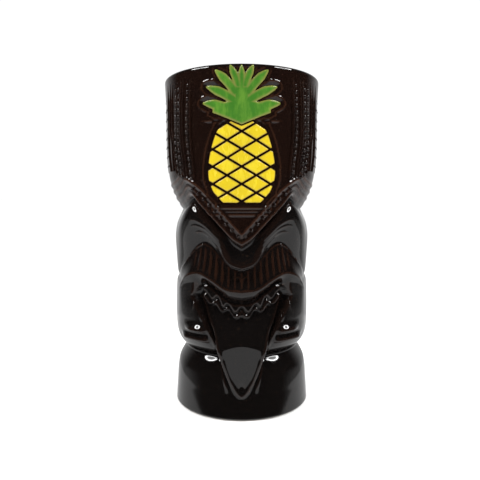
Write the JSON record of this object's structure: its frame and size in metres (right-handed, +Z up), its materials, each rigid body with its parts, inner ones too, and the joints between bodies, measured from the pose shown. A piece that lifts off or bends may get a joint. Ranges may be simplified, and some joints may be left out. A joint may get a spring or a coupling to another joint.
{
  "type": "tiki mug",
  "caption": "Slip-cast ceramic drinking mug shaped as a carved tiki head with a long tongue and a painted pineapple on its headdress",
  "frame": {"origin": "under the middle of the foot, at the height of the table it stands on", "axes": "+Z up to the lip, the carved face looks along -Y, +X is to the right of the face as seen from the front"},
  "size_m": [0.081, 0.0812, 0.165],
  "materials": {
    "earthenware": "unglazed fired clay",
    "dark_cover_glaze": "high gloss black-brown glaze, warmer brown where it thins on the ridges",
    "liner_glaze": "high gloss black-brown glaze inside",
    "green_glaze": "glossy brushed green glaze",
    "yellow_glaze": "glossy brushed yellow glaze"
  },
  "bodies": {
    "root": {"clay_body": "earthenware", "cover_glaze": "dark_cover_glaze", "fruit_scale_r0_c2": "yellow_glaze", "fruit_scale_r0_c4": "yellow_glaze", "fruit_scale_r1_c1": "yellow_glaze", "fruit_scale_r1_c3": "yellow_glaze", "fruit_scale_r1_c5": "yellow_glaze", "fruit_scale_r2_c2": "yellow_glaze", "fruit_scale_r2_c4": "yellow_glaze", "fruit_scale_r3_c1": "yellow_glaze", "fruit_scale_r3_c3": "yellow_glaze", "fruit_scale_r3_c5": "yellow_glaze", "fruit_scale_r4_c2": "yellow_glaze", "fruit_scale_r4_c4": "yellow_glaze", "fruit_scale_r5_c1": "yellow_glaze", "fruit_scale_r5_c3": "yellow_glaze", "fruit_scale_r5_c5": "yellow_glaze", "fruit_scale_r6_c2": "yellow_glaze", "fruit_scale_r6_c4": "yellow_glaze", "fruit_scale_r7_c1": "yellow_glaze", "fruit_scale_r7_c3": "yellow_glaze", "fruit_scale_r7_c5": "yellow_glaze", "fruit_scale_r8_c2": "yellow_glaze", "fruit_scale_r8_c4": "yellow_glaze", "fruit_scale_r9_c3": "yellow_glaze", "liner_glaze": "liner_glaze", "pineapple_crown": "green_glaze"}
  },
  "joints": []
}
